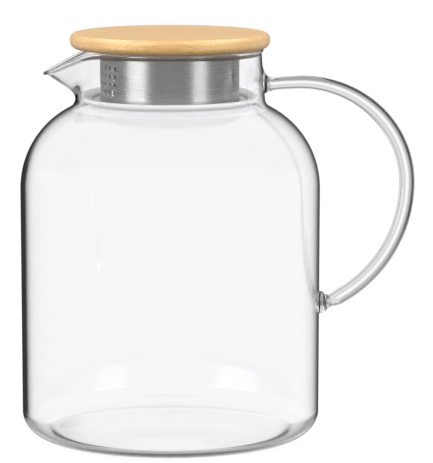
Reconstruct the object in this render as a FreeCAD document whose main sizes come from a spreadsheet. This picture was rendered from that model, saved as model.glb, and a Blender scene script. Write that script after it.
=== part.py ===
"""Glass tea jug with a bamboo lid, a perforated steel strainer and a silicone seal.

Millimetres. The jug stands on the XY plane with its axis on Z, its spout towards -X and its
handle towards +X. The lid parts are drawn from the underside of the lid and then set on the jug.
"""
import FreeCAD
import Part
import Sketcher
import math
import os
import re

# Driving dimensions, in millimetres and degrees
SIZES = {
    # Blown glass jug
    "jug_radius": 70.0,
    "wall_draft": 0.4,
    "wall_thickness": 2.2,
    "base_thickness": 3.4,
    "foot_corner": 12.5,
    "inside_corner": 10.0,
    "shoulder_height": 117.7,
    "shoulder_radius": 42.0,
    "neck_hollow": 5.0,
    "neck_roll": 7.0,
    "neck_root_radius": 44.2,
    "neck_root_height": 162.4,
    "neck_bore": 42.0,
    # Rim and pulled spout, measured to the centre of the rounded rim
    "rim_radius": 42.72,
    "rim_height": 181.5,
    "rim_bead": 1.1,
    "rim_skin": 0.25,
    "spout_reach": 58.2,
    "spout_nose": 10.5,
    "spout_start": 30.0,
    "spout_turn": 25.0,
    "spout_fall": 26.0,
    # Handle bent from solid glass rod, and the welds that join it to the jug
    "rod_radius": 3.6,
    "handle_top": 166.8,
    "handle_reach": 110.6,
    "upper_bend": 47.0,
    "lower_bend": 62.0,
    "lower_sweep": 64.0,
    "lower_run": 1.0,
    "upper_weld_root": 42.8,
    "upper_weld_waist": 45.7,
    "upper_weld_end": 48.6,
    "upper_weld_radius": 8.0,
    "upper_waist_radius": 4.9,
    "lower_weld_root": 68.6,
    "lower_weld_height": 62.6,
    "lower_weld_radius": 5.8,
    "lower_waist_radius": 4.4,
    "lower_waist_gap": 2.6,
    # Bamboo lid, and how high its underside sits
    "lid_rest": 183.0,
    "lid_radius": 46.55,
    "lid_thickness": 7.2,
    "lid_top_round": 2.8,
    "lid_under_round": 3.4,
    # Deep drawn strainer
    "cup_radius": 32.4,
    "cup_gauge": 0.5,
    "cup_corner": 1.5,
    "cup_drop": 25.0,
    "flange_radius": 38.4,
    "flange_bend": 0.8,
    "hole_radius": 0.95,
    "hole_rows": 4,
    "hole_columns": 11,
    "hole_pitch": 3.7,
    "hole_spread": 78.0,
    "top_hole_drop": 8.5,
    # Silicone seal, drawn from the top of the strainer flange
    "seal_play": 0.05,
    "seal_cover": 36.75,
    "seal_cover_height": 1.2,
    "seal_lip_radius": 41.3,
    "seal_lip_rise": 2.4,
    "seal_lip_tip": 0.7,
    "seal_lip_root": 1.4,
    "seal_skirt_radius": 36.9,
    "seal_skirt_bore": 35.0,
    "seal_skirt_drop": 5.6,
    "seal_skirt_edge": 0.9,
    # Screws that hold the strainer to the lid
    "screw_count": 3,
    "screw_circle": 20.0,
    "screw_radius": 1.45,
    "screw_length": 5.5,
    "screw_head_radius": 2.8,
    "screw_head_height": 1.6,
    "screw_clearance": 0.2,
}

doc = FreeCAD.newDocument("tea_jug")
sheet = doc.addObject("Spreadsheet::Sheet", "sizes")
for row, (name, number) in enumerate(SIZES.items(), start=1):
    sheet.set(f"A{row}", name)
    sheet.set(f"B{row}", str(number))
    sheet.setAlias(f"B{row}", name)
doc.recompute()


def on_sheet(formula):
    """Point every size name in a formula at its cell."""
    return re.sub(r"[a-z_]+", lambda word: f"sizes.{word[0]}" if word[0] in SIZES else word[0], formula)


def size(formula):
    """Work out a formula of size names from the sheet."""
    return float(sheet.evalExpression(on_sheet(formula)))


def new_body(label):
    body = doc.addObject("PartDesign::Body", label)
    body.Label = label
    return body


def origin_part(body, role):
    return next(item for item in body.Origin.OriginFeatures if item.Role == role)


def new_sketch(body, name, role):
    """Add an empty sketch on one of the body's own planes."""
    sketch = body.newObject("Sketcher::SketchObject", name)
    sketch.AttachmentSupport = (origin_part(body, role), [""])
    sketch.MapMode = "FlatFace"
    return sketch


def bind(sketch, constraint, formula):
    number = sketch.addConstraint(constraint)
    sketch.setExpression(f"Constraints[{number}]", on_sheet(formula))


def pin(sketch, side, end, spot):
    """Hold one end of a side at a spot given by two formulas."""
    for kind, axis, formula in zip(("DistanceX", "DistanceY"), (-2, -1), spot):
        if formula == "0":
            sketch.addConstraint(Sketcher.Constraint("PointOnObject", side, end, axis))
        else:
            bind(sketch, Sketcher.Constraint(kind, -1, 1, side, end, size(formula)), formula)


def arc_between(start, finish, radius, clockwise):
    """Draw the shorter arc of a radius from start to finish."""
    chord = finish - start
    left = FreeCAD.Vector(-chord.y, chord.x, 0).normalize()
    height = math.sqrt(radius**2 - chord.Length**2 / 4)
    centre = (start + finish) / 2 + left * (-height if clockwise else height)
    first, last = (finish, start) if clockwise else (start, finish)
    angles = [math.atan2(spot.y - centre.y, spot.x - centre.x) for spot in (first, last)]
    if angles[1] < angles[0]:
        angles[1] += 2 * math.pi
    return Part.ArcOfCircle(Part.Circle(centre, FreeCAD.Vector(0, 0, 1), radius), *angles)


def draw(sketch, corners, arcs, closed=True):
    """Join corners, given as pairs of formulas, by lines and arcs.

    arcs gives the radius of each round side by the number of the corner that it leaves, with a
    minus sign where the arc turns clockwise.
    """
    spots = [FreeCAD.Vector(size(x), size(y), 0) for x, y in corners]
    count = len(corners) if closed else len(corners) - 1
    ends = []
    for number in range(count):
        start = spots[number]
        finish = spots[(number + 1) % len(spots)]
        radius = arcs.get(number, "")
        clockwise = radius.startswith("-")
        if radius:
            radius = radius.lstrip("-")
            side = sketch.addGeometry(arc_between(start, finish, size(radius), clockwise))
            bind(sketch, Sketcher.Constraint("Radius", side, size(radius)), radius)
        else:
            side = sketch.addGeometry(Part.LineSegment(start, finish))
        ends.append((side, 2, 1) if clockwise else (side, 1, 2))
    for number, (side, start, finish) in enumerate(ends):
        pin(sketch, side, start, corners[number])
        if closed or number + 1 < count:
            following = ends[(number + 1) % count]
            sketch.addConstraint(Sketcher.Constraint("Coincident", side, finish, following[0], following[1]))
        else:
            pin(sketch, side, finish, corners[-1])


def circle(sketch, spot, radius):
    """Draw a circle whose centre and radius are formulas."""
    centre = FreeCAD.Vector(size(spot[0]), size(spot[1]), 0)
    side = sketch.addGeometry(Part.Circle(centre, FreeCAD.Vector(0, 0, 1), size(radius)))
    pin(sketch, side, 3, spot)
    bind(sketch, Sketcher.Constraint("Radius", side, size(radius)), radius)


def turned(body, name, corners, arcs):
    """Revolve a half section, drawn in radius and height, about the Z axis."""
    sketch = new_sketch(body, f"{name}_section", "XZ_Plane")
    draw(sketch, corners, arcs)
    feature = body.newObject("PartDesign::Revolution", name)
    feature.Profile = sketch
    feature.ReferenceAxis = (sketch, ["V_Axis"])
    feature.Angle = 360
    return feature


def polar_pattern(body, name, feature, angle, count):
    """Repeat a cut round the Z axis."""
    pattern = body.newObject("PartDesign::PolarPattern", name)
    pattern.Originals = [feature]
    pattern.Axis = (origin_part(body, "Z_Axis"), [""])
    pattern.setExpression("Angle", on_sheet(angle))
    pattern.setExpression("Occurrences", on_sheet(count))
    body.Tip = pattern
    return pattern


def glass_vessel():
    """Base, wall and shoulder of the jug, up to the root of the neck."""
    shoulder_axis = "(jug_radius - shoulder_radius)"
    inner_shoulder = "(shoulder_radius - wall_thickness)"

    def neck_turn(neck, bend, shoulder):
        """Height of the bend's centre, and where the bend leaves the shoulder."""
        out = f"({neck} + {bend} - {shoulder_axis})"
        span = f"({shoulder} + {bend})"
        up = f"sqrt({span} ^ 2 - {out} ^ 2)"
        share = f"{shoulder} / {span}"
        leaves = (f"{shoulder_axis} + {out} * {share}", f"shoulder_height + {up} * {share}")
        return f"shoulder_height + {up}", leaves

    outer_turn, outer_leaves = neck_turn("neck_root_radius", "neck_hollow", "shoulder_radius")
    inner_turn, inner_leaves = neck_turn("neck_bore", "neck_roll", inner_shoulder)
    foot = "jug_radius - wall_draft"
    inside = "jug_radius - wall_thickness"
    corners = [
        ("0", "0"),
        (f"{foot} - foot_corner", "0"),
        (foot, "foot_corner"),
        ("jug_radius", "shoulder_height"),
        outer_leaves,
        ("neck_root_radius", outer_turn),
        ("neck_root_radius", "neck_root_height"),
        ("neck_bore", "neck_root_height"),
        ("neck_bore", inner_turn),
        inner_leaves,
        (inside, "shoulder_height"),
        (f"{inside} - wall_draft", "base_thickness + inside_corner"),
        (f"{inside} - wall_draft - inside_corner", "base_thickness"),
        ("0", "base_thickness"),
    ]
    arcs = {
        1: "foot_corner",
        3: "shoulder_radius",
        4: "-neck_hollow",
        8: "neck_roll",
        9: f"-{inner_shoulder}",
        11: "-inside_corner",
    }
    body = new_body("vessel")
    turned(body, "vessel_wall", corners, arcs)
    return body


def rim_radius_at(turn):
    """Radius of the rim at an angle from the spout: a circle drawn out to a rounded nose."""
    ring = size("rim_radius")
    nose = size("spout_nose")
    nose_axis = size("spout_reach - spout_nose")
    flank = math.acos((ring - nose) / nose_axis)
    nose_end = math.atan2(nose * math.sin(flank), nose_axis + nose * math.cos(flank))
    if turn < nose_end:
        return nose_axis * math.cos(turn) + math.sqrt(nose**2 - (nose_axis * math.sin(turn)) ** 2)
    if turn < flank:
        return ring / math.cos(flank - turn)
    return ring


def rim_height_at(towards_spout):
    """Height of the rim: level, then bending down to the tip of the spout."""
    turn = size("spout_turn")
    fall = math.radians(size("spout_fall"))
    past = towards_spout - size("spout_start")
    bend = turn * math.sin(fall)
    drop = 0.0
    if past > 0:
        curved = min(past, bend)
        drop = turn - math.sqrt(turn**2 - curved**2) + (past - curved) * math.tan(fall)
    return size("rim_height") - drop


def neck_section(angle):
    """Section of the neck wall with its rounded rim, in the plane at an angle about the axis."""
    root_height = size("neck_root_height")
    bore = size("neck_bore")
    bead = size("rim_bead")
    skin = size("rim_skin")
    turn = abs(math.pi - angle)
    radius = rim_radius_at(turn)
    height = rim_height_at(radius * math.cos(turn))

    def spot(out, up):
        return FreeCAD.Vector(out * math.cos(angle), out * math.sin(angle), up)

    # The inside of the wall leaves the bore and runs tangent to the rounded rim
    reach = math.hypot(radius - bore, height - root_height)
    rise = math.atan2(height - root_height, radius - bore) + math.asin(bead / reach)

    def round_rim(along, inwards):
        """A spot near the rim's centre, along the wall and towards its inside."""
        out = radius + along * math.cos(rise) - inwards * math.sin(rise)
        return spot(out, height + along * math.sin(rise) + inwards * math.cos(rise))

    outer_root = spot(size("neck_root_radius"), root_height)
    inner_root = spot(bore, root_height)
    under = round_rim(-math.sqrt(bead**2 - skin**2), -skin)
    outside = round_rim(0, -bead)
    top = round_rim(bead, 0)
    diagonal = bead * math.sqrt(0.5)
    over = round_rim(diagonal, diagonal)
    inside = round_rim(0, bead)
    return Part.Wire(
        [
            Part.LineSegment(outer_root, under).toShape(),
            Part.Arc(under, outside, top).toShape(),
            Part.Arc(top, over, inside).toShape(),
            Part.LineSegment(inside, inner_root).toShape(),
            Part.LineSegment(inner_root, outer_root).toShape(),
        ]
    )


def glass_body(vessel):
    """Carry the neck's wall section round the axis, closer set at the spout, and join it on."""
    close_step, wide_step = 5, 10
    spout_half, spout_middle = 55, 180
    spout = range(spout_middle - spout_half, spout_middle + spout_half + 1, close_step)
    angles = sorted({*range(0, 360, wide_step), *spout})
    neck = Part.makeLoft([neck_section(math.radians(angle)) for angle in angles], True, False, True)
    join_tolerance = 0.02
    body = doc.addObject("Part::Feature", "glass_body")
    body.Shape = vessel.Shape.fuse([neck], join_tolerance)
    return body


def handle_rod():
    """Solid glass rod out of the neck, over in two bends and back down to the wall."""
    body = new_body("handle_rod")
    middle = "handle_top - upper_bend"
    bend_end = (
        "handle_reach - lower_bend * (1 - cos(lower_sweep))",
        f"{middle} - lower_bend * sin(lower_sweep)",
    )
    path = new_sketch(body, "handle_path", "XZ_Plane")
    corners = [
        ("upper_weld_end", "handle_top"),
        ("handle_reach - upper_bend", "handle_top"),
        ("handle_reach", middle),
        bend_end,
        lower_rod_end(),
    ]
    draw(path, corners, {1: "-upper_bend", 2: "-lower_bend"}, closed=False)
    ring = new_sketch(body, "rod_ring", "YZ_Plane")
    ring.setExpression("AttachmentOffset.Base.z", on_sheet("upper_weld_end"))
    circle(ring, ("0", "handle_top"), "rod_radius")
    rod = body.newObject("PartDesign::AdditivePipe", "bent_rod")
    rod.Profile = ring
    rod.Spine = (path, [f"Edge{side}" for side in range(1, len(corners))])
    return body


def lower_rod_end(gap="0"):
    """Where the rod ends above the lower weld, or a spot the gap further along its axis."""
    run = f"(lower_run + {gap})"
    return (
        f"handle_reach - lower_bend * (1 - cos(lower_sweep)) - {run} * sin(lower_sweep)",
        f"handle_top - upper_bend - lower_bend * sin(lower_sweep) - {run} * cos(lower_sweep)",
    )


def weld(label, glass, rings):
    """Melted glass that flares from the rod's end to the jug, cut to the jug's surface.

    Each ring is its place along X, its height, its lean from upright and its radius.
    """
    flare = new_body(f"{label}_flare")
    sketches = []
    for number, (out, height, lean, radius) in enumerate(rings):
        sketch = new_sketch(flare, f"{label}_ring{number}", "YZ_Plane")
        sketch.AttachmentOffset = FreeCAD.Placement(
            FreeCAD.Vector(0, size(height), size(out)),
            FreeCAD.Rotation(FreeCAD.Vector(1, 0, 0), size(lean)),
        )
        sketch.setExpression("AttachmentOffset.Base.y", on_sheet(height))
        sketch.setExpression("AttachmentOffset.Base.z", on_sheet(out))
        circle(sketch, ("0", "0"), radius)
        sketches.append(sketch)
    loft = flare.newObject("PartDesign::AdditiveLoft", f"{label}_loft")
    loft.Profile = sketches[0]
    loft.Sections = sketches[1:]
    cut = doc.addObject("Part::Cut", label)
    cut.Base = flare
    cut.Tool = glass
    return cut


def upper_handle_weld(glass):
    rings = [
        ("upper_weld_root", "handle_top", "0", "upper_weld_radius"),
        ("upper_weld_waist", "handle_top", "0", "upper_waist_radius"),
        ("upper_weld_end", "handle_top", "0", "rod_radius"),
    ]
    return weld("upper_handle_weld", glass, rings)


def lower_handle_weld(glass):
    lean = "lower_sweep - 90"
    rings = [
        ("lower_weld_root", "lower_weld_height", "0", "lower_weld_radius"),
        (*lower_rod_end("lower_waist_gap"), f"({lean}) / 2", "lower_waist_radius"),
        (*lower_rod_end(), lean, "rod_radius"),
    ]
    return weld("lower_handle_weld", glass, rings)


def set_on_jug(part, drop="0"):
    """Move a part drawn at the lid's underside up to where the lid rests."""
    part.setExpression("Placement.Base.z", on_sheet(f"lid_rest - {drop}"))


def screw_places():
    """Angles of the screws about the axis, the first one away from the spout."""
    count = int(size("screw_count"))
    return [360 * number / count for number in range(count)]


def bamboo_lid():
    """Turned bamboo disc with rounded edges and three screw holes under it."""
    body = new_body("bamboo_lid")
    corners = [
        ("0", "0"),
        ("lid_radius - lid_under_round", "0"),
        ("lid_radius", "lid_under_round"),
        ("lid_radius", "lid_thickness - lid_top_round"),
        ("lid_radius - lid_top_round", "lid_thickness"),
        ("0", "lid_thickness"),
    ]
    turned(body, "lid_disc", corners, {1: "lid_under_round", 3: "lid_top_round"})
    screw_depth = "screw_length - cup_gauge"
    screw_holes(body, "0", screw_depth, "screw_radius", upwards=True)
    set_on_jug(body)
    return body


def screw_holes(body, level, depth, radius, upwards):
    """Bore the first screw hole from a level and repeat it round the axis."""
    sketch = new_sketch(body, f"{body.Label}_screw_hole", "XY_Plane")
    sketch.setExpression("AttachmentOffset.Base.z", on_sheet(level))
    circle(sketch, ("screw_circle", "0"), radius)
    hole = body.newObject("PartDesign::Pocket", f"{body.Label}_screw_bore")
    hole.Profile = sketch
    hole.Reversed = upwards
    hole.setExpression("Length", on_sheet(depth))
    polar_pattern(body, f"{body.Label}_screw_bores", hole, "360", "screw_count")


def strainer_cup():
    """Deep drawn steel cup, open downwards, flanged at its mouth and pierced towards the spout."""
    body = new_body("strainer_cup")
    bore = "cup_radius - cup_gauge"
    inner_corner = "(cup_corner - cup_gauge)"
    outer_bend = "(flange_bend + cup_gauge)"
    corners = [
        ("0", "-cup_gauge"),
        (f"{bore} - {inner_corner}", "-cup_gauge"),
        (bore, "-cup_corner"),
        (bore, "flange_bend - cup_drop"),
        ("cup_radius + flange_bend", "-cup_drop - cup_gauge"),
        ("flange_radius", "-cup_drop - cup_gauge"),
        ("flange_radius", "-cup_drop"),
        ("cup_radius + flange_bend", "-cup_drop"),
        ("cup_radius", "flange_bend - cup_drop"),
        ("cup_radius", "-cup_corner"),
        ("cup_radius - cup_corner", "0"),
        ("0", "0"),
    ]
    arcs = {1: f"-{inner_corner}", 3: outer_bend, 7: "-flange_bend", 9: "cup_corner"}
    turned(body, "drawn_cup", corners, arcs)
    screw_holes(body, "0", "2 * cup_gauge", "screw_radius + screw_clearance", upwards=False)

    column = new_sketch(body, "hole_column", "YZ_Plane")
    column.AttachmentOffset = FreeCAD.Placement(
        FreeCAD.Vector(), FreeCAD.Rotation(FreeCAD.Vector(0, 1, 0), -size("hole_spread") / 2)
    )
    for row in range(int(size("hole_rows"))):
        circle(column, ("0", f"-top_hole_drop - {row} * hole_pitch"), "hole_radius")
    pierced = body.newObject("PartDesign::Pocket", "pierced_column")
    pierced.Profile = column
    pierced.setExpression("Length", on_sheet("cup_radius + 1"))
    polar_pattern(body, "pierced_patch", pierced, "hole_spread", "hole_columns")
    set_on_jug(body)
    return body


def silicone_seal():
    """Moulded ring whose slot grips the strainer's flange and whose lip wipes the neck."""
    body = new_body("silicone_seal")
    slot_end = "flange_radius + 2 * seal_play"
    slot_under = "-cup_gauge - seal_play"
    tip = "seal_lip_tip"
    corners = [
        ("seal_cover", "seal_play"),
        (slot_end, "seal_play"),
        (slot_end, slot_under),
        ("seal_skirt_bore", slot_under),
        ("seal_skirt_bore", "seal_skirt_edge - seal_skirt_drop"),
        ("(seal_skirt_bore + seal_skirt_radius) / 2", "-seal_skirt_drop"),
        ("seal_skirt_radius", "seal_skirt_edge - seal_skirt_drop"),
        ("seal_skirt_radius", "-cup_gauge - seal_lip_root"),
        ("seal_lip_radius - seal_lip_tip", f"seal_lip_rise - 2 * {tip}"),
        ("seal_lip_radius", f"seal_lip_rise - {tip}"),
        ("seal_lip_radius - seal_lip_tip", "seal_lip_rise"),
        ("seal_cover", "seal_cover_height"),
    ]
    edge = "(seal_skirt_radius - seal_skirt_bore) / 2"
    turned(body, "seal_ring", corners, {4: edge, 5: edge, 8: tip, 9: tip})
    set_on_jug(body, "cup_drop")
    return body


def strainer_screws():
    """Pan head screws up through the top of the strainer into the bamboo."""
    form = new_body("screw_form")
    under_plate = "-cup_gauge"
    corners = [
        ("0", f"{under_plate} - screw_head_height"),
        ("screw_head_radius - screw_head_height / 2", f"{under_plate} - screw_head_height"),
        ("screw_head_radius", f"{under_plate} - screw_head_height / 2"),
        ("screw_head_radius", under_plate),
        ("screw_radius", under_plate),
        ("screw_radius", f"{under_plate} + screw_length - screw_radius"),
        ("0", f"{under_plate} + screw_length"),
    ]
    turned(form, "screw", corners, {1: "screw_head_height / 2"})
    doc.recompute()
    screws = []
    for angle in screw_places():
        screw = form.Shape.copy()
        screw.translate(FreeCAD.Vector(size("screw_circle"), 0, 0))
        screw.rotate(FreeCAD.Vector(), FreeCAD.Vector(0, 0, 1), angle)
        screws.append(screw)
    group = doc.addObject("Part::Feature", "strainer_screws")
    group.Shape = Part.makeCompound(screws)
    set_on_jug(group)
    return group


vessel = glass_vessel()
doc.recompute()
glass = glass_body(vessel)
pieces = [
    glass,
    handle_rod(),
    upper_handle_weld(glass),
    lower_handle_weld(glass),
    bamboo_lid(),
    strainer_cup(),
    silicone_seal(),
    strainer_screws(),
]
doc.recompute()

# Nothing is written unless every object was made and every piece is sound
failed = [item.Label for item in doc.Objects if {"Invalid", "Error"} & set(item.State)]
unsound = [piece.Label for piece in pieces if piece.Shape.isNull() or not piece.Shape.isValid()]
if failed or unsound:
    raise RuntimeError(f"failed: {failed}, unsound: {unsound}")

os.makedirs("parts", exist_ok=True)
for piece in pieces:
    piece.Shape.exportStep(f"parts/{piece.Label}.step")
    print(f"{piece.Label}: {len(piece.Shape.Solids)} solid(s), {piece.Shape.Volume / 1000:.2f} cm3")
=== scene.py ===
"""Looks of a glass tea jug with a bamboo lid, a steel strainer and a silicone seal.

Sizes are in millimetres unless a name says otherwise, and MM turns them to metres. The jug stands on
z = 0 with its axis on Z, its spout towards -X and its handle towards +X.
"""
import math

import bmesh
import bpy
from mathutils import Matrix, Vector


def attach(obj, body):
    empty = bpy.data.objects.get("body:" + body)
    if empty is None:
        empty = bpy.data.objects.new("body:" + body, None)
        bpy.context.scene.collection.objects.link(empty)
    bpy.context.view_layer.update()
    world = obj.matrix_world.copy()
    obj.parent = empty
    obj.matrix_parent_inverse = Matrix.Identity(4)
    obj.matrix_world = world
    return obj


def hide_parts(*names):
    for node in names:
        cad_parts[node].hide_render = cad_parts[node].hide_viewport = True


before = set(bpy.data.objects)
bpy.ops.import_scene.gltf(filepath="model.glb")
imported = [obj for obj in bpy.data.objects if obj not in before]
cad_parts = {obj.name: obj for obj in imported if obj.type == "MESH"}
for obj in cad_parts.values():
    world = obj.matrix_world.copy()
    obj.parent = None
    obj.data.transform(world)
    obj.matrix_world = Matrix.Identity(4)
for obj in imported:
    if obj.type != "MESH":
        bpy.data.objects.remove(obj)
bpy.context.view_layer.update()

MM = 0.001
DEGREE = math.pi / 180

# Blown vessel
JUG_RADIUS = 69.97
WALL_DRAFT = 0.4
WALL = 2.2
BASE = 3.4
FOOT_CORNER = 12.5
FOOT_REACH = 16.0
INSIDE_CORNER = 10.0
SHOULDER_HEIGHT = 117.7
SHOULDER_RADIUS = 42.0
NECK_HOLLOW = 5.0
NECK_ROLL = 7.0
NECK_ROOT_RADIUS = 44.2
NECK_ROOT_HEIGHT = 159.7
NECK_BORE = 42.2

# Rim and pulled spout
RIM_RADIUS = 42.72
RIM_HEIGHT = 182.1
RIM_BEAD = 0.8
SPOUT_REACH = 58.2
SPOUT_NOSE = 10.5
SPOUT_START = 30.0
SPOUT_TURN = 25.0
SPOUT_FALL = 26.0
SPOUT_ONSET = 0.12

# Handle bent from solid rod
HANDLE_TOP = 166.95
HANDLE_REACH = 110.58
UPPER_BEND = 47.0
UPPER_REACH = 49.5
LOWER_BEND = 62.0
LOWER_SWEEP = 60.0
BEND_STEPS = 75
SWEEP_STEP = 1.2
STUB_END = 48.5
STUB_STEPS = 6
STUB_DIP = 1.5
DIP_START = 45.0
DIP_LENGTH = 5.0
ROD_STUB = 3.0
ROD_MIDDLE = 3.6
ROD_TAPER = 0.35
ROD_SIDES = 96

# Melted glass at the neck: places out from the wall, then how far it spreads and over what length
WELD_OVERLAP = 1.0
UPPER_WELD = (-0.8, 0.0, 0.3, 0.6, 0.9, 1.3, 1.8, 2.4, 3.2, 4.2)
SPREAD_UP = (6.5, 1.5)
SPREAD_DOWN = (2.2, 0.9)
SPREAD_ASIDE = (3.0, 1.0)

# Melted glass at the wall, as distance from it and radius: the rod, a waist, a bead and the melted foot
LOWER_WELD = (
    (8.4, 3.55), (7.4, 3.4), (6.4, 3.1), (5.4, 2.95), (4.4, 3.15), (3.4, 3.35), (2.9, 3.6), (2.5, 4.3),
    (2.0, 4.8), (1.2, 5.1), (0.4, 5.3), (-0.4, 5.5), (-1.6, 5.6),
)
LOWER_WELD_HEIGHT = 63.4
LOWER_WELD_CURVE = 0.03

# Lid and strainer, measured down from the lid's underside
LID_REST = 183.0
LID_RADIUS = 46.55
LID_THICKNESS = 7.2
LID_TOP_ROUND = 2.8
LID_UNDER_ROUND = 3.4
CUP_RADIUS = 32.4
CUP_GAUGE = 0.5
CUP_CORNER = 1.5
CUP_DROP = 25.0
FLANGE_RADIUS = 38.4
FLANGE_BEND = 0.8
HOLE_RADIUS = 0.95
HOLE_ROWS = 4
HOLE_COLUMNS = 11
HOLE_PITCH = 3.7
HOLE_SPREAD = 78.0
HOLE_SIDES = 20
TOP_HOLE_DROP = 8.5
PUNCH_LENGTH = 4.0

# Seal: radii, and heights from the top of the strainer's flange
SEAL_BORE = 35.0
SKIRT_MIDDLE = 35.95
SKIRT_ROUND = 0.95
SKIRT_RADIUS = 36.9
SKIRT_DROP = 4.7
GRIP_RADIUS = 36.75
GRIP_TOP = 1.2
SLOT_RADIUS = 38.5
SLOT_TOP = 0.05
SLOT_DROP = 0.55
LIP_RADIUS = 40.6
LIP_ROOT_DROP = 1.9
LIP_FOOT = 1.0
LIP_MIDDLE = 1.7
LIP_ROUND = 0.7
SEAL_EDGE = 0.15
SEAL_EDGE_ANGLE = 30.0

# Steps round a turned piece, the angle in degrees past which its edges stay sharp, and where points merge
VESSEL_STEPS = 240
LID_STEPS = 160
SHARP_ANGLE = 40.0
MERGE_DISTANCE = 0.001

# Divisions of the half sections: counts along straight stretches, and degrees along bends
BASE_DIVISIONS = 8
WALL_DIVISIONS = 16
NECK_DIVISIONS = 12
SHOULDER_STEP = 3
NECK_STEP = 6
RIM_STEP = 20
LID_DIVISIONS = 10
LID_ROUND_STEP = 8
CUP_TOP_DIVISIONS = 6
CUP_WALL_DIVISIONS = 10
FLANGE_DIVISIONS = 3
CUP_BEND_STEP = 15
SEAL_STEP = 20


def arc(centre, radius, first, last, step=4.0):
    """Points on an arc from the first to the last angle, in degrees, no further apart than step."""
    count = max(2, math.ceil(abs(last - first) / step))
    angles = [(first + (last - first) * number / count) * DEGREE for number in range(count + 1)]
    return [(centre[0] + radius * math.cos(a), centre[1] + radius * math.sin(a)) for a in angles]


def run(start, finish, count):
    """Points spaced evenly on a line, without its ends."""
    shares = [number / count for number in range(1, count)]
    return [tuple(a + (b - a) * share for a, b in zip(start, finish)) for share in shares]


def start_piece(name):
    """Name the primitive that was just added and open it for editing."""
    piece = bpy.context.object
    piece.name = piece.data.name = name
    bpy.ops.object.mode_set(mode="EDIT")
    bpy.ops.mesh.select_all(action="SELECT")
    return piece


def turn_profile(name, profile, steps, closed=False):
    """Draw a half section by extruding one point from corner to corner, and spin it about Z."""
    bpy.ops.object.select_all(action="DESELECT")
    bpy.ops.mesh.primitive_plane_add(size=MM)
    piece = start_piece(name)
    bpy.ops.mesh.merge(type="CENTER")
    corners = [Vector((radius, 0, height)) * MM for radius, height in profile]
    bpy.ops.transform.translate(value=corners[0])
    for start, finish in zip(corners, corners[1:] + corners[:1] * closed):
        bpy.ops.mesh.extrude_region_move(TRANSFORM_OT_translate={"value": finish - start})
    bpy.ops.mesh.select_all(action="SELECT")
    bpy.ops.mesh.spin(steps=steps, angle=2 * math.pi, center=(0, 0, 0), axis=(0, 0, 1))
    bpy.ops.mesh.select_all(action="SELECT")
    bpy.ops.mesh.remove_doubles(threshold=MERGE_DISTANCE * MM)
    bpy.ops.mesh.normals_make_consistent(inside=False)
    bpy.ops.object.mode_set(mode="OBJECT")
    bpy.ops.object.shade_smooth()
    return piece


def apply_modifier(piece, kind, **settings):
    """Add a modifier with its settings and apply it."""
    bpy.context.view_layer.objects.active = piece
    modifier = piece.modifiers.new(kind.lower(), kind)
    for name, value in settings.items():
        setattr(modifier, name, value)
    bpy.ops.object.modifier_apply(modifier=modifier.name)


def use_up(piece, tool, operation):
    """Join or cut a piece with a tool shape, and remove the tool."""
    apply_modifier(piece, "BOOLEAN", operation=operation, object=tool, solver="EXACT")
    bpy.data.objects.remove(tool)


# Blown glass jug

def vessel_profile():
    """Outside of the glass from the middle of the base to the rim, then down the inside."""
    foot = JUG_RADIUS - WALL_DRAFT
    inside = JUG_RADIUS - WALL
    shoulder = (JUG_RADIUS - SHOULDER_RADIUS, SHOULDER_HEIGHT)
    inner_shoulder = SHOULDER_RADIUS - WALL

    def neck_turn(neck, bend, radius):
        """Centre of the bend under the neck, and its angle as seen from the shoulder's centre."""
        out = neck + bend - shoulder[0]
        up = math.sqrt((radius + bend) ** 2 - out**2)
        return (neck + bend, SHOULDER_HEIGHT + up), math.atan2(up, out) / DEGREE

    hollow, leaves = neck_turn(NECK_ROOT_RADIUS, NECK_HOLLOW, SHOULDER_RADIUS)
    roll, arrives = neck_turn(NECK_BORE, NECK_ROLL, inner_shoulder)
    rim = (RIM_RADIUS, RIM_HEIGHT)
    outer_root = (NECK_ROOT_RADIUS, NECK_ROOT_HEIGHT)
    inner_root = (NECK_BORE, NECK_ROOT_HEIGHT)
    bead = arc(rim, RIM_BEAD, -100, 180, RIM_STEP)
    flat = foot - FOOT_REACH
    corner = arc((0, 0), 1.0, -90, 0)
    profile = [(0, 0)] + run((0, 0), (flat, 0), BASE_DIVISIONS)
    profile += [(flat + FOOT_REACH * out, FOOT_CORNER + FOOT_CORNER * up) for out, up in corner]
    profile += run((foot, FOOT_CORNER), (JUG_RADIUS, SHOULDER_HEIGHT), WALL_DIVISIONS)
    profile += arc(shoulder, SHOULDER_RADIUS, 0, leaves, SHOULDER_STEP)
    profile += arc(hollow, NECK_HOLLOW, 180 + leaves, 180, NECK_STEP)[1:]
    profile += [outer_root] + run(outer_root, bead[0], NECK_DIVISIONS) + bead
    profile += run(bead[-1], inner_root, NECK_DIVISIONS) + [inner_root]
    profile += arc(roll, NECK_ROLL, 180, 180 + arrives, NECK_STEP)
    profile += arc(shoulder, inner_shoulder, arrives, 0, SHOULDER_STEP)[1:]
    inner_foot = (inside - WALL_DRAFT, BASE + INSIDE_CORNER)
    profile += run((inside, SHOULDER_HEIGHT), inner_foot, WALL_DIVISIONS)
    inner_flat = inner_foot[0] - INSIDE_CORNER
    profile += arc((inner_flat, inner_foot[1]), INSIDE_CORNER, 0, -90)
    profile += run((inner_flat, BASE), (0, BASE), BASE_DIVISIONS) + [(0, BASE)]
    return profile


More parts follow.
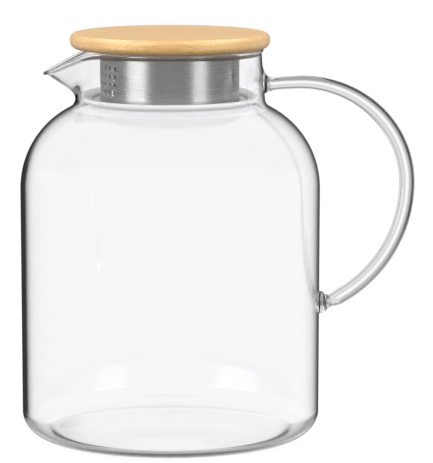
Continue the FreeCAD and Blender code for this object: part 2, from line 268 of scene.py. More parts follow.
def rim_radius_at(turn):
    """Radius of the rim at an angle from the spout: a circle drawn out to a rounded nose."""
    nose_axis = SPOUT_REACH - SPOUT_NOSE
    flank = math.acos((RIM_RADIUS - SPOUT_NOSE) / nose_axis)
    nose_end = math.atan2(SPOUT_NOSE * math.sin(flank), nose_axis + SPOUT_NOSE * math.cos(flank))
    if turn < nose_end:
        across = nose_axis * math.sin(turn)
        return nose_axis * math.cos(turn) + math.sqrt(SPOUT_NOSE**2 - across**2)
    if turn < flank:
        return RIM_RADIUS / math.cos(flank - turn)
    return RIM_RADIUS


def rim_height_at(towards_spout):
    """Height of the rim: level, then bending down to the tip of the spout."""
    past = max(0.0, towards_spout - SPOUT_START)
    curved = min(past, SPOUT_TURN * math.sin(SPOUT_FALL * DEGREE))
    drop = SPOUT_TURN - math.sqrt(SPOUT_TURN**2 - curved**2)
    return RIM_HEIGHT - drop - (past - curved) * math.tan(SPOUT_FALL * DEGREE)


def pull_spout(jug):
    """Draw the round neck out to the spout, more the nearer a point is to the rim."""
    root = Vector(((NECK_ROOT_RADIUS + NECK_BORE) / 2, NECK_ROOT_HEIGHT))
    wall = Vector((RIM_RADIUS, RIM_HEIGHT)) - root
    along = wall.normalized()
    across = Vector((-along.y, along.x))

    def eased(share):
        """Slow to start above the root of the neck, then even up to the rim."""
        return share - SPOUT_ONSET + SPOUT_ONSET * math.exp(-share / SPOUT_ONSET)

    for point in jug.data.vertices:
        if point.co.z < NECK_ROOT_HEIGHT * MM:
            continue
        angle = math.atan2(point.co.y, point.co.x)
        turn = math.pi - abs(angle)
        spot = Vector((point.co.to_2d().length, point.co.z)) / MM - root
        share = min(1.0, max(0.0, spot.dot(along) / wall.length))
        past = max(0.0, spot.dot(along) - wall.length)
        radius = rim_radius_at(turn)
        rim = Vector((radius, rim_height_at(radius * math.cos(turn))))
        pulled = (rim - root).normalized()
        sideways = Vector((-pulled.y, pulled.x))
        pull = (rim - root - wall) * eased(share) / eased(1.0)
        lean = across.lerp(sideways, share)
        place = root + wall * share + pull + lean * spot.dot(across) + pulled * past
        point.co = Vector((math.cos(angle) * place.x, math.sin(angle) * place.x, place.y)) * MM


def sweep(name, rings):
    """A closed tube through rings, each a centre, a heading in degrees and radii up and sideways."""
    bpy.ops.object.select_all(action="DESELECT")
    bpy.ops.mesh.primitive_circle_add(vertices=ROD_SIDES, radius=1.0, fill_type="NGON")
    piece = start_piece(name)
    net = bmesh.from_edit_mesh(piece.data)
    turns = {corner.index: math.atan2(corner.co.y, corner.co.x) for corner in net.verts}
    ring_turns = [turns[number] for number in range(ROD_SIDES)]
    for number, (centre, heading, up_radius, side_radius) in enumerate(rings):
        if number:
            bpy.ops.mesh.extrude_region_move()
        net = bmesh.from_edit_mesh(piece.data)
        up = Vector((-math.sin(heading * DEGREE), 0, math.cos(heading * DEGREE)))
        middle = Vector((centre[0], 0, centre[1]))
        chosen = [corner for corner in net.verts if corner.select]
        for corner, turn in zip(sorted(chosen, key=lambda corner: corner.index), ring_turns):
            rise = up * up_radius * math.cos(turn)
            aside = Vector((0, side_radius * math.sin(turn), 0))
            corner.co = (middle + rise + aside) * MM
        bmesh.update_edit_mesh(piece.data)
    bpy.ops.mesh.select_all(action="SELECT")
    bpy.ops.mesh.normals_make_consistent(inside=False)
    bpy.ops.object.mode_set(mode="OBJECT")
    return piece


def handle_line():
    """Centres and headings along the rod: out of the neck, over two bends and back to the wall."""
    upper_axis = (HANDLE_REACH - UPPER_REACH, HANDLE_TOP - UPPER_BEND)
    lower_axis = (HANDLE_REACH - LOWER_BEND, HANDLE_TOP - UPPER_BEND)
    start = (STUB_END, HANDLE_TOP)
    turns = [90 * DEGREE * (1 - number / BEND_STEPS) for number in range(BEND_STEPS + 1)]
    wide, tall = UPPER_REACH, UPPER_BEND
    bend = [(upper_axis[0] + wide * math.cos(t), upper_axis[1] + tall * math.sin(t)) for t in turns]
    headings = [-math.atan2(tall * math.cos(t), wide * math.sin(t)) / DEGREE for t in turns]
    stub = [start] + run(start, bend[0], STUB_STEPS)
    line = [((out, height - stub_dip(out)), 0.0) for out, height in stub]
    line += list(zip(bend, headings))
    sweep_back = arc(lower_axis, LOWER_BEND, 0, -LOWER_SWEEP, SWEEP_STEP)
    last = len(sweep_back) - 1
    back = [(spot, -90 - LOWER_SWEEP * number / last) for number, spot in enumerate(sweep_back)]
    return line + back[1:]


def stub_dip(out):
    """How far the rod sinks where it comes out of the neck."""
    return STUB_DIP * math.exp((DIP_START - out) / DIP_LENGTH)


def rod_radius_at(share):
    """The rod is drawn thinner towards the neck."""
    return ROD_STUB + (ROD_MIDDLE - ROD_STUB) * min(1.0, share / ROD_TAPER)


def spread(gap, size):
    """How far melted glass spreads past the rod, at a distance from the wall."""
    most, length = size
    return most * math.exp(-max(gap, 0.0) / length)


def handle_rings():
    """Rings of the rod, flared where it is melted on at each end."""
    upper = []
    for gap in UPPER_WELD:
        out = NECK_ROOT_RADIUS - WELD_OVERLAP + gap
        rise = ROD_STUB + spread(gap, SPREAD_UP)
        sink = ROD_STUB + spread(gap, SPREAD_DOWN)
        centre = (out, HANDLE_TOP - stub_dip(out) + (rise - sink) / 2)
        upper.append((centre, 0.0, (rise + sink) / 2, ROD_STUB + spread(gap, SPREAD_ASIDE)))
    line = handle_line()
    middle = []
    for number, (spot, heading) in enumerate(line):
        radius = rod_radius_at(number / (len(line) - 1))
        middle.append((spot, heading, radius, radius))
    lower = []
    for gap, radius in LOWER_WELD:
        out = max(gap, 0.0)
        place = (JUG_RADIUS + gap, LOWER_WELD_HEIGHT + LOWER_WELD_CURVE * out**2)
        lower.append((place, math.atan(2 * LOWER_WELD_CURVE * out) / DEGREE - 180, radius, radius))
    return upper + middle + lower


def make_jug():
    """Vessel, spout and handle as one glass."""
    jug = turn_profile("jug_glass", vessel_profile(), VESSEL_STEPS)
    pull_spout(jug)
    use_up(jug, sweep("handle", handle_rings()), "UNION")
    bpy.ops.object.shade_smooth()
    return jug


# Lid parts

def make_lid():
    """Turned bamboo disc with rounded edges."""
    low, high = LID_REST, LID_REST + LID_THICKNESS
    under_edge = LID_RADIUS - LID_UNDER_ROUND
    top_edge = LID_RADIUS - LID_TOP_ROUND
    profile = [(0, low)] + run((0, low), (under_edge, low), LID_DIVISIONS)
    profile += arc((under_edge, low + LID_UNDER_ROUND), LID_UNDER_ROUND, -90, 0, LID_ROUND_STEP)
    profile += arc((top_edge, high - LID_TOP_ROUND), LID_TOP_ROUND, 0, 90, LID_ROUND_STEP)
    profile += run((top_edge, high), (0, high), LID_DIVISIONS) + [(0, high)]
    lid = turn_profile("lid_disc", profile, LID_STEPS)
    bpy.ops.object.shade_smooth_by_angle(angle=SHARP_ANGLE * DEGREE)
    return lid


def make_strainer():
    """Steel cup drawn from sheet, open downwards, flanged, and pierced towards the spout."""
    top = LID_REST
    flange = LID_REST - CUP_DROP
    corner = (CUP_RADIUS - CUP_CORNER, top - CUP_CORNER)
    bend = (CUP_RADIUS + FLANGE_BEND, flange + FLANGE_BEND)
    edge = (FLANGE_RADIUS, flange)
    profile = [(0, top)] + run((0, top), (corner[0], top), CUP_TOP_DIVISIONS)
    profile += arc(corner, CUP_CORNER, 90, 0, CUP_BEND_STEP)
    profile += run((CUP_RADIUS, corner[1]), (CUP_RADIUS, bend[1]), CUP_WALL_DIVISIONS)
    profile += arc(bend, FLANGE_BEND, 180, 270, CUP_BEND_STEP)
    profile += run((bend[0], flange), edge, FLANGE_DIVISIONS) + [edge]
    cup = turn_profile("strainer", profile, LID_STEPS)
    apply_modifier(cup, "SOLIDIFY", thickness=CUP_GAUGE * MM, offset=-1)
    use_up(cup, hole_punches(), "DIFFERENCE")
    bpy.ops.object.shade_smooth_by_angle(angle=SHARP_ANGLE * DEGREE)
    return cup


def hole_punches():
    """Punches for the pierced patch, one for each hole, as one shape."""
    bpy.ops.object.select_all(action="DESELECT")
    punches = []
    for column in range(HOLE_COLUMNS):
        turn = (180 - HOLE_SPREAD / 2 + HOLE_SPREAD * column / (HOLE_COLUMNS - 1)) * DEGREE
        for row in range(HOLE_ROWS):
            height = LID_REST - TOP_HOLE_DROP - row * HOLE_PITCH
            place = Vector((CUP_RADIUS * math.cos(turn), CUP_RADIUS * math.sin(turn), height)) * MM
            bpy.ops.mesh.primitive_cylinder_add(
                vertices=HOLE_SIDES,
                radius=HOLE_RADIUS * MM,
                depth=PUNCH_LENGTH * MM,
                location=place,
                rotation=(0, math.pi / 2, turn),
            )
            punches.append(bpy.context.object)
    for punch in punches:
        punch.select_set(True)
    bpy.ops.object.join()
    return bpy.context.object


def make_seal():
    """Moulded ring with a slot for the flange, a skirt below and a lip that reaches the neck."""
    flange = LID_REST - CUP_DROP
    skirt_foot = flange - SKIRT_DROP
    profile = [
        (GRIP_RADIUS, flange + SLOT_TOP),
        (SLOT_RADIUS, flange + SLOT_TOP),
        (SLOT_RADIUS, flange - SLOT_DROP),
        (SEAL_BORE, flange - SLOT_DROP),
        (SEAL_BORE, skirt_foot),
        *arc((SKIRT_MIDDLE, skirt_foot), SKIRT_ROUND, 180, 360, SEAL_STEP)[1:-1],
        (SKIRT_RADIUS, skirt_foot),
        (SKIRT_RADIUS, flange - LIP_ROOT_DROP),
        (LIP_RADIUS, flange + LIP_FOOT),
        *arc((LIP_RADIUS, flange + LIP_MIDDLE), LIP_ROUND, -60, 90, SEAL_STEP),
        (GRIP_RADIUS, flange + GRIP_TOP),
    ]
    seal = turn_profile("seal_ring", profile, LID_STEPS, closed=True)
    apply_modifier(
        seal,
        "BEVEL",
        width=SEAL_EDGE * MM,
        segments=2,
        limit_method="ANGLE",
        angle_limit=SEAL_EDGE_ANGLE * DEGREE,
    )
    bpy.ops.object.shade_smooth_by_angle(angle=SHARP_ANGLE * DEGREE)
    return seal


# Materials

def linear(hex_colour):
    """An sRGB hex colour as linear light."""
    channels = [int(hex_colour[place:place + 2], 16) / 255 for place in (1, 3, 5)]
    return (*[c / 12.92 if c <= 0.04045 else ((c + 0.055) / 1.055) ** 2.4 for c in channels], 1.0)


def add_node(tree, kind, sockets=None, stops=None, **settings):
    """Add a shader node with its properties, its sockets' values or links, and any ramp's stops."""
    made = tree.nodes.new(kind)
    for name, value in settings.items():
        setattr(made, name, value)
    for name, value in (sockets or {}).items():
        if isinstance(value, bpy.types.NodeSocket):
            tree.links.new(value, made.inputs[name])
        else:
            made.inputs[name].default_value = value
    if stops:
        ramp = made.color_ramp
        while len(ramp.elements) < len(stops):
            ramp.elements.new(1.0)
        for element, (place, colour) in zip(ramp.elements, stops):
            element.position = place
            element.color = colour
    return made


def new_material(name):
    """A material with no nodes yet, and its node tree."""
    material = bpy.data.materials.new(name)
    material.use_nodes = True
    material.node_tree.nodes.clear()
    return material, material.node_tree


def finish_material(tree, shader):
    """Join a shader to the material's output."""
    add_node(tree, "ShaderNodeOutputMaterial", {"Surface": shader.outputs[0]})


def clear_borosilicate_glass():
    """Blown borosilicate glass: colourless, fire polished, with the faint ripple of a blown wall."""
    material, tree = new_material("clear_borosilicate_glass")
    place = add_node(tree, "ShaderNodeTexCoord").outputs["Object"]
    ripple_size = 45 * MM
    ripple = add_node(tree, "ShaderNodeTexNoise", {"Vector": place, "Scale": 1 / ripple_size, "Detail": 1.0})
    bump = add_node(
        tree, "ShaderNodeBump", {"Height": ripple.outputs["Fac"], "Strength": 0.1, "Distance": 0.3 * MM}
    )
    glass = add_node(
        tree,
        "ShaderNodeBsdfPrincipled",
        {
            "Base Color": linear("#fcfcfd"),
            "Roughness": 0.0,
            "IOR": 1.47,
            "Transmission Weight": 1.0,
            "Normal": bump.outputs["Normal"],
        },
    )
    finish_material(tree, glass)
    return material


def lacquered_bamboo():
    """Laminated bamboo under satin lacquer: honey coloured, with fine fibres that run along X."""
    material, tree = new_material("lacquered_bamboo")
    place = add_node(tree, "ShaderNodeTexCoord").outputs["Object"]
    fibre_length, fibre_width = 30 * MM, 0.7 * MM
    stretch = add_node(
        tree,
        "ShaderNodeMapping",
        {"Vector": place, "Scale": (1 / fibre_length, 1 / fibre_width, 1 / fibre_width)},
    )
    fibres = add_node(tree, "ShaderNodeTexNoise", {"Vector": stretch.outputs[0], "Scale": 1.0, "Detail": 3.0})
    colour = add_node(
        tree,
        "ShaderNodeValToRGB",
        {"Fac": fibres.outputs["Fac"]},
        stops=[(0.3, linear("#d9a763")), (0.55, linear("#e8bb7a")), (0.8, linear("#f0c98e"))],
    )
    bump = add_node(
        tree, "ShaderNodeBump", {"Height": fibres.outputs["Fac"], "Strength": 0.15, "Distance": 0.1 * MM}
    )
    # Painted shade: the underside is coloured darker than the top, as the shade under the lid
    facing = add_node(tree, "ShaderNodeTexCoord").outputs["Normal"]
    upright = add_node(tree, "ShaderNodeSeparateXYZ", {0: facing}).outputs["Z"]
    shade = add_node(
        tree,
        "ShaderNodeMapRange",
        {"Value": upright, "From Min": -0.99, "From Max": -0.9, "To Min": 0.35, "To Max": 1.0},
    )
    shaded = add_node(
        tree, "ShaderNodeVectorMath", {0: colour.outputs["Color"], "Scale": shade.outputs[0]}, operation="SCALE"
    )
    wood = add_node(
        tree,
        "ShaderNodeBsdfPrincipled",
        {
            "Base Color": shaded.outputs[0],
            "Roughness": 0.38,
            "Coat Weight": 0.35,
            "Coat Roughness": 0.25,
            "Normal": bump.outputs["Normal"],
        },
    )
    finish_material(tree, wood)
    return material


def brushed_stainless_steel():
    """Stainless sheet brushed round the cup: fine level lines that draw highlights out upright."""
    material, tree = new_material("brushed_stainless_steel")
    place = add_node(tree, "ShaderNodeTexCoord").outputs["Object"]
    line_length, line_width = 500 * MM, 0.15 * MM
    stretch = add_node(
        tree,
        "ShaderNodeMapping",
        {"Vector": place, "Scale": (1 / line_length, 1 / line_length, 1 / line_width)},
    )
    lines = add_node(tree, "ShaderNodeTexNoise", {"Vector": stretch.outputs[0], "Scale": 1.0, "Detail": 2.0})
    shine = add_node(
        tree, "ShaderNodeMapRange", {"Value": lines.outputs["Fac"], "To Min": 0.24, "To Max": 0.3}
    )
    bump = add_node(
        tree, "ShaderNodeBump", {"Height": lines.outputs["Fac"], "Strength": 0.012, "Distance": 0.03 * MM}
    )
    # Painted shade: the inside of the cup, nearer the axis than the middle of its wall, is coloured darker than
    # its brushed outside, so that the holes look dark
    flat = add_node(tree, "ShaderNodeVectorMath", {0: place, 1: (1.0, 1.0, 0.0)}, operation="MULTIPLY")
    radius = add_node(tree, "ShaderNodeVectorMath", {0: flat.outputs[0]}, operation="LENGTH")
    skin = (CUP_RADIUS - CUP_GAUGE / 2) * MM
    outside = add_node(
        tree, "ShaderNodeMath", {0: radius.outputs["Value"], 1: skin}, operation="GREATER_THAN"
    )
    colour = add_node(
        tree,
        "ShaderNodeValToRGB",
        {"Fac": outside.outputs[0]},
        stops=[(0.0, linear("#55565a")), (1.0, linear("#c3c4c2"))],
    )
    round_cup = add_node(tree, "ShaderNodeTangent", direction_type="RADIAL", axis="Z")
    steel = add_node(
        tree,
        "ShaderNodeBsdfPrincipled",
        {
            "Base Color": colour.outputs["Color"],
            "Metallic": 1.0,
            "Roughness": shine.outputs["Result"],
            "Anisotropic": 0.7,
            "Anisotropic Rotation": 0.25,
            "Tangent": round_cup.outputs["Tangent"],
            "Normal": bump.outputs["Normal"],
        },
    )
    finish_material(tree, steel)
    return material


def moulded_white_silicone():
    """Moulded silicone: milky white, soft at its edges where light soaks in, with a satin skin."""
    material, tree = new_material("moulded_white_silicone")
    place = add_node(tree, "ShaderNodeTexCoord").outputs["Object"]
    cloud_size = 6 * MM
    clouds = add_node(tree, "ShaderNodeTexNoise", {"Vector": place, "Scale": 1 / cloud_size, "Detail": 2.0})
    colour = add_node(
        tree,
        "ShaderNodeValToRGB",
        {"Fac": clouds.outputs["Fac"]},
        stops=[(0.3, linear("#f1f4f6")), (0.7, linear("#f8fafb"))],
    )
    silicone = add_node(
        tree,
        "ShaderNodeBsdfPrincipled",
        {
            "Base Color": colour.outputs["Color"],
            "Roughness": 0.45,
            "Subsurface Weight": 1.0,
            "Subsurface Radius": (1.0, 1.0, 1.0),
            "Subsurface Scale": 3 * MM,
            "IOR": 1.41,
        },
    )
    finish_material(tree, silicone)
    return material


# Studio

# The light that clear glass shows is matched to the photograph's line of sight. Other views have plainer edges.
# Brightness round the horizon by bearing in degrees: 0 is behind the jug, negative is to the photograph's left.
# Satin surfaces mirror two tall softboxes in a dim room.
SOFTBOX_ROOM = (
    (-180, 0.08), (-156, 0.12), (-146, 0.6), (-137, 5.4), (-112, 5.4), (-102, 0.6), (-90, 0.12),
    (-60, 0.08), (-25, 0.08), (-15, 0.5), (15, 0.5), (25, 0.08), (60, 0.08), (100, 0.12), (112, 0.5),
    (121, 4.2), (136, 4.2), (146, 0.4), (156, 0.1), (180, 0.08),
)
# Lacquer out in the open catches more of the lamps, and of the white walls beside the jug.
LACQUER_ROOM = (
    (-180, 0.1), (-152, 0.3), (-140, 5.0), (-108, 5.0), (-96, 1.6), (-60, 1.4), (-40, 0.8), (-25, 0.35),
    (25, 0.35), (40, 0.8), (60, 1.4), (96, 1.6), (108, 3.5), (138, 3.5), (152, 0.3), (180, 0.1),
)
# Glass edges mirror a dark gap behind the jug, deeper on the left. Brightness by the angle in degrees away from
# the line of sight.
LEFT_EDGES = (
    (0, 0.04), (29, 0.04), (33, 0.2), (36, 0.4), (39, 0.65), (43, 0.85), (50, 1.0), (180, 1.0),
)
RIGHT_EDGES = (
    (0, 0.08), (16, 0.1), (20, 0.22), (24, 0.42), (28, 0.64), (33, 0.86), (38, 1.0), (48, 1.25),
    (62, 1.25), (85, 1.0), (180, 1.0),
)
# What the rod bends into view, by the angle that it is bent through: dark towards the jug, paler away from it.
BENT_INWARD = (
    (0, 1.0), (4, 0.97), (6, 0.72), (12, 0.54), (18, 0.44), (22, 0.3), (25, 0.12), (28, 0.01),
    (100, 0.01), (115, 0.35), (130, 0.9), (140, 0.55), (150, 0.95), (165, 0.5), (180, 0.9),
)
BENT_OUTWARD = (
    (0, 1.0), (4, 0.97), (6, 0.88), (10, 0.78), (14.5, 0.6), (19, 0.8), (27, 0.74), (36, 0.5), (45, 0.68),
    (60, 0.85), (115, 1.0), (130, 0.95), (140, 0.6), (150, 0.95), (165, 0.5), (180, 0.9),
)
# What shows by bearing through more than one wall of glass.
VEILED_ROOM = ((-180, 1.0), (-140, 1.0), (-120, 0.04), (-45, 0.04), (-35, 1.0), (180, 1.0))

# Brightness of other parts of the studio
WHITE = 1.0
CEILING = 0.6
LOW_WALL = 0.5
OVERHEAD_LAMPS = 5.5
VESSEL_BACK_LIGHT = 0.3
LOW_EDGES = 0.42
MIRRORED_FLOOR = 1.3
ROD_FOOT_LIGHT = 0.36
ROD_TOP_LIGHT = 0.28
LIGHT_FROM_ABOVE = 1.0
LIGHT_FROM_BELOW = 0.45
LIGHT_IN_GLASS = 2.4
LIGHT_IN_GLASS_FROM_BELOW = 1.8
LIGHT_UNDER_LID = 0.5

# Bands by steepness, from where each starts to where it is full: 1 is straight up, -1 is straight down
OVER_SOFTBOXES = (0.12, 0.3)
OVER_WALLS = (0.55, 0.9)
UNDER_WALLS = (-0.35, -0.55)
LAMPS_FROM = (0.64, 0.74)
LAMPS_TO = (0.95, 0.88)
BACK_WALL = (-0.084, -0.09)
LEFT_EDGES_UP_TO = (0.18, -0.02)
UNDER_EDGES = (-0.2, -0.24)
FLOOR_AHEAD = (-0.3, -0.45)
ROD_RISING = (-0.06, 0.3)
ROD_FOOT_BELOW = (-0.25, -0.4)
ROD_TOP_FROM = (0.33, 0.45)
ROD_TOP_TO = (0.7, 0.6)
BELOW_TO_ABOVE = (-0.6, 0.6)
PAST_LID_SHADE = (-0.65, -0.85)
OUT_OF_LID_SHADE = (-0.5, -0.1)
WALL_BEHIND_FROM = (0.04, 0.08)
WALL_BEHIND_TO = (0.36, 0.3)
# Bands across the photograph: -1 is to its left, 1 is to its right, and for the lamps and the foot either side
ON_THE_LEFT = (0.01, -0.01)
STRAIGHT_FROM = (-0.09, -0.06)
STRAIGHT_TO = (0.09, 0.06)
LAMPS_APART = (0.16, 0.28)
FOOT_FRONT = (0.45, 0.3)
# Band towards the outside of the handle
ROD_OUTSIDE = (-0.03, 0.03)
# Bands of a count, such as how many faces of glass a ray has crossed, and of a yes or no
NEVER = (0.6, 0.4)
ONCE = (0.4, 0.6)
THREE_TIMES = (2.4, 2.6)
FOUR_TIMES_FROM = (3.4, 3.6)
FOUR_TIMES_TO = (4.6, 4.4)
NO = (1.0, 0.0)
YES = (0.0, 1.0)

LINE_OF_SIGHT = (0.0, 0.9906, -0.137)
TOWARDS_HANDLE = (0.954, 0.0415, 0.3)
ROD_RISING_SHARE = 0.5

# Floor, which keeps a faint shadow on its own white
FLOOR_RADIUS = 4000.0
FLOOR_SIDES = 64
FLOOR_SHADE = 0.12
FLOOR_WHITE = 0.9

# Lamps: name, bearing from the front in degrees and watts
LAMPS = (("left", -55, 8.0), ("right", 52, 6.0))
LAMP_WIDTH = 500.0
LAMP_LENGTH = 900.0
LAMP_DISTANCE = 1300.0
LAMP_HEIGHT = 800.0
LAMP_AIM = 150.0

CAMERA_PLACE = (21.63, -1700.0, 332.0)
CAMERA_TILT = 7.877
CAMERA_SENSOR = 36.0
CAMERA_LENS = 285.0


def make_floor():
    """Pale floor, white to the eye, that glass and steel look past."""
    bpy.ops.object.select_all(action="DESELECT")
    bpy.ops.mesh.primitive_circle_add(vertices=FLOOR_SIDES, radius=FLOOR_RADIUS * MM, fill_type="NGON")
    floor = bpy.context.object
    floor.name = "floor"
    floor.visible_transmission = False
    floor.visible_glossy = False
    material, tree = new_material("white_floor")
    path = add_node(tree, "ShaderNodeLightPath")
    paper = add_node(tree, "ShaderNodeBsdfDiffuse", {"Color": (FLOOR_SHADE, FLOOR_SHADE, FLOOR_SHADE, 1.0)})
    lit = add_node(
        tree, "ShaderNodeMath", {0: path.outputs["Is Camera Ray"], 1: FLOOR_WHITE}, operation="MULTIPLY"
    )
    glow = add_node(tree, "ShaderNodeEmission", {"Strength": lit.outputs[0]})
    both = add_node(tree, "ShaderNodeAddShader", {0: paper.outputs[0], 1: glow.outputs[0]})
    finish_material(tree, both)
    floor.data.materials.append(material)


def round_the_room(tree, bearing, levels):
    """Brightness that changes with a bearing, from a list of angles and levels."""
    share = add_node(
        tree, "ShaderNodeMapRange", {"Value": bearing, "From Min": -math.pi, "From Max": math.pi}
    )
    most = max(level for angle, level in levels)
    stops = [((angle + 180) / 360, (*[level / most] * 3, 1.0)) for angle, level in levels]
    ramp = add_node(tree, "ShaderNodeValToRGB", {"Fac": share.outputs[0]}, stops=stops)
    scaled = add_node(tree, "ShaderNodeMath", {0: ramp.outputs["Color"], 1: most}, operation="MULTIPLY")
    return scaled.outputs[0]


def lay_over(tree, light, cover, *bands, share=1.0):
    """Cover one light with another, by a share, where all the bands of these measures are full."""
    for measure, (start, full) in bands:
        sockets = {"Value": measure, "From Min": start, "From Max": full, "To Max": share}
        share = add_node(
            tree, "ShaderNodeMapRange", sockets, interpolation_type="SMOOTHSTEP"
        ).outputs[0]
    return add_node(tree, "ShaderNodeMix", {"Factor": share, "A": light, "B": cover}).outputs[0]


def make_world():
    """White surroundings, two softboxes in front, and dark gaps that give glass its edges."""
    world = bpy.data.worlds.new("studio")
    bpy.context.scene.world = world
    world.use_nodes = True
    tree = world.node_tree
    tree.nodes.clear()
    path = add_node(tree, "ShaderNodeLightPath").outputs
    crossed = path["Transmission Depth"]
    direction = add_node(tree, "ShaderNodeTexCoord").outputs["Generated"]
    axes = add_node(tree, "ShaderNodeSeparateXYZ", {0: direction}).outputs
    across, up = axes["X"], axes["Z"]
    aside = add_node(tree, "ShaderNodeMath", {0: across}, operation="ABSOLUTE").outputs[0]
    bearing = add_node(tree, "ShaderNodeMath", {0: across, 1: axes["Y"]}, operation="ARCTAN2").outputs[0]
    sight = add_node(tree, "ShaderNodeVectorMath", {0: direction, 1: LINE_OF_SIGHT}, operation="DOT_PRODUCT")
    turned = add_node(tree, "ShaderNodeMath", {0: sight.outputs["Value"]}, operation="ARCCOSINE").outputs[0]
    outward = add_node(
        tree, "ShaderNodeVectorMath", {0: direction, 1: TOWARDS_HANDLE}, operation="DOT_PRODUCT"
    ).outputs["Value"]
    straight = ((across, STRAIGHT_FROM), (across, STRAIGHT_TO))

    # Satin steel and lacquer. The back of the vessel mirrors no lamp.
    lamps = ((up, LAMPS_FROM), (up, LAMPS_TO), (aside, LAMPS_APART))
    lacquer = round_the_room(tree, bearing, LACQUER_ROOM)
    lacquer = lay_over(tree, lacquer, CEILING, (up, OVER_WALLS))
    lacquer = lay_over(tree, lacquer, LOW_WALL, (up, UNDER_WALLS))
    lacquer = lay_over(tree, lacquer, OVERHEAD_LAMPS, *lamps)
    softboxes = round_the_room(tree, bearing, SOFTBOX_ROOM)
    softboxes = lay_over(tree, softboxes, CEILING, (up, OVER_SOFTBOXES))
    softboxes = lay_over(tree, softboxes, LOW_WALL, (up, UNDER_WALLS))
    softboxes = lay_over(tree, lacquer, softboxes, (crossed, ONCE))
    softboxes = lay_over(tree, softboxes, VESSEL_BACK_LIGHT, (up, BACK_WALL), (crossed, ONCE))

    # Mirrorings in clear glass. The front of the foot mirrors the white floor.
    left_edges = round_the_room(tree, turned, LEFT_EDGES)
    front = ((up, FLOOR_AHEAD), (aside, FOOT_FRONT), (crossed, NEVER))
    edges = round_the_room(tree, turned, RIGHT_EDGES)
    edges = lay_over(tree, edges, left_edges, (across, ON_THE_LEFT), (up, LEFT_EDGES_UP_TO))
    edges = lay_over(tree, edges, LOW_EDGES, (up, UNDER_EDGES))
    edges = lay_over(tree, edges, MIRRORED_FLOOR, *front)

    # What the rod bends into view
    bent_outward = round_the_room(tree, turned, BENT_OUTWARD)
    bent_inward = round_the_room(tree, turned, BENT_INWARD)
    bent_inward = lay_over(tree, bent_inward, bent_outward, (up, ROD_RISING), share=ROD_RISING_SHARE)
    bent_inward = lay_over(tree, bent_inward, ROD_FOOT_LIGHT, *straight, (up, ROD_FOOT_BELOW))
    bent_outward = lay_over(tree, bent_outward, ROD_TOP_LIGHT, (up, ROD_TOP_FROM), (up, ROD_TOP_TO))
    bent = lay_over(tree, bent_inward, bent_outward, (outward, ROD_OUTSIDE))
    veiled = round_the_room(tree, bearing, VEILED_ROOM)

    # Light on the pieces, raised for those that stand inside the glass
    soft = lay_over(tree, LIGHT_FROM_BELOW, LIGHT_FROM_ABOVE, (up, BELOW_TO_ABOVE))
    enclosed = lay_over(tree, LIGHT_UNDER_LID, LIGHT_IN_GLASS_FROM_BELOW, (up, PAST_LID_SHADE))
    enclosed = lay_over(tree, enclosed, LIGHT_IN_GLASS, (up, OUT_OF_LID_SHADE))
    soft = lay_over(tree, soft, enclosed, (crossed, THREE_TIMES))

    # Light that has crossed one wall twice and glanced off between the crossings comes from the strainer
    off_strainer = ((crossed, FOUR_TIMES_FROM), (crossed, FOUR_TIMES_TO))
    # The base mirrors the white wall straight behind
    wall_behind = ((up, WALL_BEHIND_FROM), (up, WALL_BEHIND_TO), *straight, (crossed, ONCE))
    mirrored = lay_over(tree, edges, softboxes, (path["Is Singular Ray"], NO))
    mirrored = lay_over(tree, mirrored, softboxes, *off_strainer)
    mirrored = lay_over(tree, mirrored, WHITE, *wall_behind)

    strength = lay_over(tree, bent, veiled, (crossed, THREE_TIMES))
    strength = lay_over(tree, strength, mirrored, (path["Glossy Depth"], ONCE))
    strength = lay_over(tree, strength, soft, (path["Diffuse Depth"], ONCE))
    strength = lay_over(tree, strength, WHITE, (path["Is Camera Ray"], YES))
    sky = add_node(tree, "ShaderNodeBackground", {"Color": (1.0, 1.0, 1.0, 1.0), "Strength": strength})
    add_node(tree, "ShaderNodeOutputWorld", {"Surface": sky.outputs[0]})


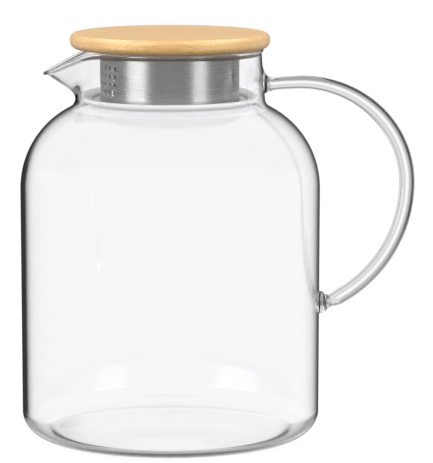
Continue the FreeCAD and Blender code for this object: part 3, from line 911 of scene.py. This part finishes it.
def make_lamps():
    """Two softboxes in front that light the pieces and aren't mirrored: the world draws what is mirrored."""
    for side, bearing, power in LAMPS:
        light = bpy.data.lights.new(f"softbox_{side}", "AREA")
        light.shape = "RECTANGLE"
        light.size, light.size_y = LAMP_WIDTH * MM, LAMP_LENGTH * MM
        light.energy = power
        lamp = bpy.data.objects.new(f"softbox_{side}", light)
        bpy.context.scene.collection.objects.link(lamp)
        out = Vector((math.sin(bearing * DEGREE), -math.cos(bearing * DEGREE), 0)) * LAMP_DISTANCE
        lamp.location = (out + Vector((0, 0, LAMP_HEIGHT))) * MM
        aim = Vector((0, 0, LAMP_AIM)) * MM - lamp.location
        lamp.rotation_euler = aim.to_track_quat("-Z", "Y").to_euler()
        lamp.visible_camera = lamp.visible_glossy = lamp.visible_transmission = False


def set_camera():
    """The photograph's view: from the front, a little above the lid, through a long lens."""
    camera = bpy.data.objects.new("camera", bpy.data.cameras.new("camera"))
    bpy.context.scene.collection.objects.link(camera)
    camera.location = Vector(CAMERA_PLACE) * MM
    camera.rotation_euler = ((90 - CAMERA_TILT) * DEGREE, 0, 0)
    camera.data.sensor_fit = "VERTICAL"
    camera.data.sensor_height = CAMERA_SENSOR
    camera.data.lens = CAMERA_LENS
    bpy.context.scene.camera = camera


def dress(piece, material, slot, body, *nodes):
    """Give a piece its finish, its place on a moving body and the nodes that it stands for."""
    piece.data.materials.clear()
    piece.data.materials.append(material)
    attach(piece, body)
    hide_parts(*nodes)


bpy.context.scene.view_settings.view_transform = "Standard"
glass_nodes = ("glass_body", "handle_rod", "upper_handle_weld", "lower_handle_weld")
steel = brushed_stainless_steel()
dress(make_jug(), clear_borosilicate_glass(), "clear_glass", "jug", *glass_nodes)
dress(make_lid(), lacquered_bamboo(), "lacquered_bamboo", "lid", "bamboo_lid")
dress(make_strainer(), steel, "brushed_steel", "lid", "strainer_cup")
dress(make_seal(), moulded_white_silicone(), "white_silicone", "seal", "silicone_seal")
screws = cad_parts["strainer_screws"]
screws.data.materials.clear()
screws.data.materials.append(steel)
make_floor()
make_world()
make_lamps()
set_camera()
